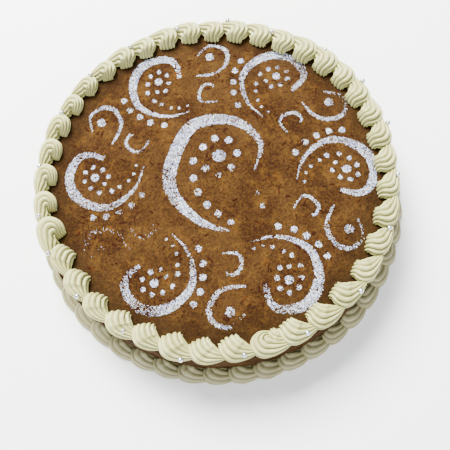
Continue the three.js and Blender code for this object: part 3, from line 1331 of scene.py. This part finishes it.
COMMA = SugarStroke(
    ((59.5, -7.1), (64.1, 7.9), (73.5, 19.4), (87.2, 26.4), (103.5, 22.9), (115.0, 12.5),
     (118.5, -1.4), (112.6, -15.3), (103.4, -18.7), (91.9, -15.3)), 7.6, Stroke.COMMA)
SMALL_COMMA = SugarStroke(
    ((-18.9, 88.4), (-7.3, 89.2), (1.9, 93.5), (7.8, 104.9), (4.3, 114.2), (-7.3, 117.6),
     (-17.7, 108.4)), 3.6, Stroke.CURL)
CURL = SugarStroke(
    ((56.0, -30.2), (61.9, -20.9), (68.8, -21.0), (74.6, -27.9), (72.2, -34.8), (68.7, -34.8)),
    2.6, Stroke.CURL)
REPEATED_DOTS = (
    (97.9, 1.4, 3.2), (83.7, 12.9, 1.8), (93.3, 14.1, 1.8), (100.7, 10.2, 1.8), (106.0, 4.4, 1.8),
    (106.0, -3.4, 1.8), (99.9, -7.6, 1.8), (92.3, -5.3, 1.8), (87.2, 0.5, 1.8), (89.8, 6.7, 1.6),
    (77.8, 9.2, 1.5), (70.9, 4.3, 1.3), (67.0, -1.3, 1.1), (65.3, -8.4, 1.0),
    (59.8, 16.3, 2.5), (67.9, 25.0, 2.5), (76.7, 30.1, 2.5), (86.8, 34.0, 2.5), (97.0, 34.4, 2.4),
    (-7.3, 106.6, 3.4))


@dataclass
class SugarStencil:
    """Icing sugar dusted through a stencil of curling strokes and dots. Millimetres.

    Each faint spot has a radius, degrees, a size and the share of sugar that is left there.
    """

    body: CakeBody
    centre: tuple[float, float] = (3.76, 0.94)
    copies: int = 6
    stroke_density: float = 4.5
    curl_density: float = 3.9
    dot_density: float = 5.8
    grains: int = 2
    grain_spread: float = 0.14
    clump: tuple[float, float] = (0.16, 0.31)
    clump_peak: tuple[float, float] = (0.25, 0.5)
    peak_shift: float = 0.07
    buried: float = 0.06
    edge: float = 0.2
    cover: float = 0.86
    least: float = 0.03
    patches: tuple[tuple[float, float, float], ...] = ((0.8, 14, 4.4), (0.6, 2.2, 9.9))
    seed: int = 29
    reach: float = 124.0
    faint_spots: tuple[tuple[float, float, float, float], ...] = (
        (107, 214.8, 32, 0.02), (68, 214, 21, 0.02), (114, 52.6, 13, 0.35), (118.4, 241.5, 11, 0.4),
        (113, 31, 10, 0.08), (109, 60, 9, 0.25), (117, 334, 10, 0.15), (119.5, 278, 12, 0.12),
        (34.5, 321, 11, 0.3))

    def build(self) -> list[bpy.types.Object]:
        """Dusts the stencil onto the crust.

        Returns:
            The dressed pieces.
        """
        draws = np.random.default_rng(self.seed)
        strokes = [BIG_CRESCENT.scatter(draws, self.stroke_density)]
        details = [self.dots(BIG_DOT + INNER_DOTS, draws)]
        for copy in range(self.copies):
            turn = 2 * math.pi * copy / self.copies
            strokes.append(self.turned(COMMA.scatter(draws, self.stroke_density), turn))
            for stroke in (SMALL_COMMA, CURL):
                details.append(self.turned(stroke.scatter(draws, self.curl_density), turn))
            details.append(self.turned(self.dots(REPEATED_DOTS, draws), turn))
        finish = SugarFinish().build()
        return [self.dust("sugar_strokes", np.concatenate(strokes), finish, draws),
                self.dust("sugar_details", np.concatenate(details), finish, draws)]

    def dots(self, dots: Sequence[tuple[float, float, float]],
             draws: np.random.Generator) -> np.ndarray:
        """Even scatter of places over round dots.

        Args:
            dots: Centre and radius of each dot.
            draws: The seeded draws.

        Returns:
            Rows of x and y.
        """
        places = []
        for x, y, radius in dots:
            count = int(math.pi * radius ** 2 * self.dot_density)
            angle = draws.uniform(0, 2 * math.pi, count)
            out = radius * np.sqrt(draws.random(count)) + draws.normal(0, self.edge, count)
            places.append(np.column_stack([x + out * np.cos(angle), y + out * np.sin(angle)]))
        return np.concatenate(places)

    @staticmethod
    def turned(places: np.ndarray, turn: float) -> np.ndarray:
        """Places turned about the pattern's centre."""
        cosine, sine = math.cos(turn), math.sin(turn)
        return places @ np.array([[cosine, sine], [-sine, cosine]])

    def kept(self, places: np.ndarray, draws: np.random.Generator) -> np.ndarray:
        """Thins the sugar out where it lay uneven, and leaves a few grains at each place.

        Args:
            places: All places, about the pattern's centre.
            draws: The seeded draws.

        Returns:
            The grains' places, about the cake's centre.
        """
        share = np.ones(len(places))
        for radius, degrees, size, left in self.faint_spots:
            angle = math.radians(degrees)
            spot = np.array([radius * math.cos(angle), radius * math.sin(angle)])
            gap = np.linalg.norm(places - spot, axis=1) / size
            share *= 1 - (1 - left) * np.clip(1.4 - gap, 0, 1)
        moved = places + self.centre
        flat = np.column_stack([moved, np.zeros(len(moved))])
        cover = sum((height * rough(flat, grain, shift) for height, grain, shift in self.patches),
                    start=self.cover)
        share *= np.clip(cover, self.least, 1)
        keep = (draws.random(len(places)) < share) & (np.hypot(*moved.T) < self.reach)
        grains = np.repeat(moved[keep], self.grains, axis=0)
        return grains + draws.normal(0, self.grain_spread, grains.shape)

    def dust(self, name: str, places: np.ndarray, finish: bpy.types.Material,
             draws: np.random.Generator) -> bpy.types.Object:
        """Makes clumps of sugar at the places, each a small pointed grain.

        Args:
            name: The piece's name.
            places: Places about the pattern's centre.
            finish: The sugar's material.
            draws: The seeded draws.

        Returns:
            The dressed piece.
        """
        moved = self.kept(places, draws)
        count = len(moved)
        level = self.body.top_height(moved[:, 0], moved[:, 1])
        size = draws.uniform(*self.clump, count)
        heading = draws.uniform(0, 2 * math.pi, count)
        corners = []
        for corner in range(3):
            angle = heading + 2 * math.pi * corner / 3 + draws.normal(0, 0.25, count)
            reach = size * draws.uniform(0.8, 1.25, count)
            corners.append(np.column_stack([
                moved[:, 0] + reach * np.cos(angle), moved[:, 1] + reach * np.sin(angle),
                level - self.buried + draws.uniform(0, 0.08, count)]))
        peak = np.column_stack([
            moved[:, 0] + draws.normal(0, self.peak_shift, count),
            moved[:, 1] + draws.normal(0, self.peak_shift, count),
            level + size * draws.uniform(*self.clump_peak, count)])
        points = np.stack(corners + [peak], axis=1).reshape(-1, 3)
        first = np.arange(count)[:, None] * 4
        pattern = np.array([(0, 2, 1), (0, 1, 3), (1, 2, 3), (2, 0, 3)])
        faces = (first[:, None, :] + pattern[None]).reshape(-1, 3)
        return dress(make_object(name, points, faces.tolist(), smooth=False), finish)


# Studio

@dataclass
class Studio:
    """Pale floor, soft lights and the camera. Metres."""

    eye: tuple[float, float, float] = (0.02143, -0.16334, 0.44510)
    back: tuple[float, float, float] = (0.06766, -0.33860, 0.93849)
    roll: float = -11.8
    lens: float = 44.0
    shift: tuple[float, float] = (0.0444, -0.0556)
    nearest: float = 0.01
    floor_size: float = 3.0
    floor_steps: int = 8
    floor_gap_mm: float = 0.05
    room: tuple[float, float, float, float] = (0.95, 0.97, 1.0, 1.0)
    room_strength: float = 0.9

    def build(self) -> None:
        """Sets up the floor, the lights and the camera."""
        self.build_floor()
        self.build_world()
        self.build_lamp("key_light", (-0.4, 0.75, 1.25), 0.7, 150.0, (1.0, 0.99, 0.96))
        self.build_lamp("fill_light", (0.1, -1.3, 0.8), 1.4, 24.0, (0.96, 0.98, 1.0))
        self.build_camera()

    def build_floor(self) -> None:
        """Lays the floor."""
        steps = self.floor_steps
        ticks = np.linspace(-self.floor_size, self.floor_size, steps + 1) / MM
        points = np.array([(x, y, -self.floor_gap_mm) for x in ticks for y in ticks])
        side = steps + 1
        faces = [(i * side + j, (i + 1) * side + j, (i + 1) * side + j + 1, i * side + j + 1)
                 for i in range(steps) for j in range(steps)]
        floor = make_object("floor", points, faces)
        floor.data.materials.append(FloorFinish().build())

    def build_world(self) -> None:
        """Gives the room an even pale light."""
        world = bpy.data.worlds.new("studio")
        world.use_nodes = True
        background = world.node_tree.nodes["Background"]
        background.inputs["Color"].default_value = self.room
        background.inputs["Strength"].default_value = self.room_strength
        bpy.context.scene.world = world

    def build_lamp(self, name: str, place: Sequence[float], size: float, power: float,
                   colour: Sequence[float]) -> None:
        """Hangs a soft square lamp that faces the cake.

        Args:
            name: The lamp's name.
            place: Where it hangs.
            size: Its side.
            power: Its power in watts.
            colour: Its colour.
        """
        light = bpy.data.lights.new(name, "AREA")
        light.size = size
        light.energy = power
        light.color = colour
        lamp = bpy.data.objects.new(name, light)
        lamp.location = place
        lamp.rotation_euler = Vector(place).to_track_quat("Z", "Y").to_euler()
        bpy.context.scene.collection.objects.link(lamp)

    def build_camera(self) -> None:
        """Sets the camera at the photograph's angle."""
        data = bpy.data.cameras.new("camera")
        data.lens = self.lens
        data.shift_x, data.shift_y = self.shift
        data.clip_start = self.nearest
        back = Vector(self.back).normalized()
        right = (-back).cross(Vector((0, 0, 1))).normalized()
        up = right.cross(-back)
        roll = math.radians(self.roll)
        turned_right = right * math.cos(roll) + up * math.sin(roll)
        turned_up = up * math.cos(roll) - right * math.sin(roll)
        rotation = Matrix((turned_right, turned_up, back)).transposed()
        camera = bpy.data.objects.new("camera", data)
        camera.matrix_world = Matrix.Translation(Vector(self.eye)) @ rotation.to_4x4()
        bpy.context.scene.collection.objects.link(camera)
        bpy.context.scene.camera = camera


def main() -> None:
    """Builds the cake and its studio."""
    logging.basicConfig(level=logging.INFO, format="%(message)s")
    body = CakeBody()
    body.build()
    CarrotShreds(body).build()
    border = TopBorder(floor=body.height + ICING_GAP)
    piping = border.build()
    BaseBorder().build()
    SilverBalls(piping).build()
    SugarStencil(body).build()
    Studio().build()


if __name__ == "__main__":
    main()
